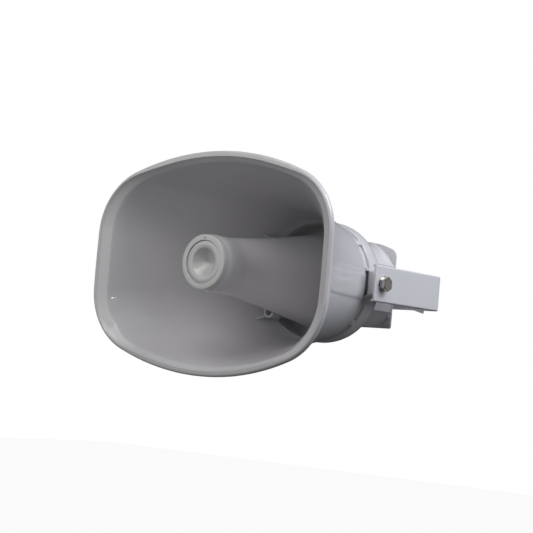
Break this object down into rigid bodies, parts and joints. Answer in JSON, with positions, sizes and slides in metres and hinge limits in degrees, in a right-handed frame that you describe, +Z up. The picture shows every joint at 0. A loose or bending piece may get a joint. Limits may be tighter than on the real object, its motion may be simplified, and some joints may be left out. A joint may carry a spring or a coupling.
{
  "type": "ip speaker",
  "caption": "Outdoor network horn loudspeaker: oval reflex flare, round centre cone, reflector bowl, rear electronics housing with cable gland, on a tilting U bracket.",
  "frame": {"origin": "centre of the bracket's wall face, midway between its fixing holes", "axes": "+Y into the wall, with the mouth looking along -Y; +X across, along the tilt axis; +Z up"},
  "size_m": [0.285, 0.2914, 0.212],
  "materials": {
    "horn_plastic": "fine satin grain, off-white",
    "cap_plastic": "smooth satin, light grey",
    "inner_plastic": "moulded, light grey",
    "powder_coat": "white powder coat",
    "stainless": "plain stainless",
    "zinc_steel": "zinc plated",
    "brass": "machined",
    "friction_polymer": "black nylon",
    "seal_rubber": "moulded black rubber",
    "driver_plastic": "glass-filled black",
    "diaphragm_film": "amber film",
    "ferrite": "sintered dark grey",
    "copper": "enamelled copper",
    "board_laminate": "green solder mask",
    "component_black": "moulded black",
    "aluminium": "bare aluminium",
    "terminal_green": "moulded green"
  },
  "bodies": {
    "bracket": {"mounting_bracket": "powder_coat"},
    "horn": {"horn_flare": "horn_plastic", "reflector_bowl": "horn_plastic", "reflex_cone": "horn_plastic", "nose_ring": "cap_plastic", "cone_cap": "cap_plastic", "throat_core": "inner_plastic", "cone_screws": "stainless", "core_screws": "stainless", "driver_gasket": "seal_rubber", "driver_adapter": "driver_plastic", "phase_plug": "driver_plastic", "diaphragm_surround": "diaphragm_film", "top_plate": "zinc_steel", "magnet": "ferrite", "back_yoke": "zinc_steel", "driver_screws": "stainless", "driver_terminals": "brass", "speaker_leads": "copper", "rear_housing": "horn_plastic", "housing_gasket": "seal_rubber", "cover_gasket": "seal_rubber", "back_cover": "horn_plastic", "back_cover_screws": "stainless", "amplifier_board": "board_laminate", "board_standoffs": "brass", "board_screws": "stainless", "network_jack": "zinc_steel", "network_transformer": "component_black", "processor_chip": "component_black", "amplifier_chip": "component_black", "heat_sink": "aluminium", "inductors": "component_black", "capacitors": "aluminium", "speaker_terminals": "terminal_green", "gland_body": "inner_plastic", "gland_seal": "seal_rubber", "gland_nut": "inner_plastic", "gland_locknut": "inner_plastic", "breather_vent": "inner_plastic", "tilt_bolts": "stainless", "tilt_spring_washers": "stainless", "tilt_flat_washers": "stainless", "friction_washers": "friction_polymer", "threaded_inserts": "brass"},
    "dome": {"diaphragm": "diaphragm_film", "voice_coil_former": "diaphragm_film", "voice_coil": "copper"}
  },
  "joints": [
    {"name": "tilt", "type": "hinge", "parent": "bracket", "child": "horn", "pos_m": [0, -0.106, 0], "axis": [1, 0, 0], "range_deg": [-80, 80]},
    {"name": "diaphragm_travel", "type": "slide", "parent": "horn", "child": "dome", "axis": [0, -1, 0], "range_m": [-0.0004, 0.0004], "stiffness_N_per_m": 4000}
  ]
}
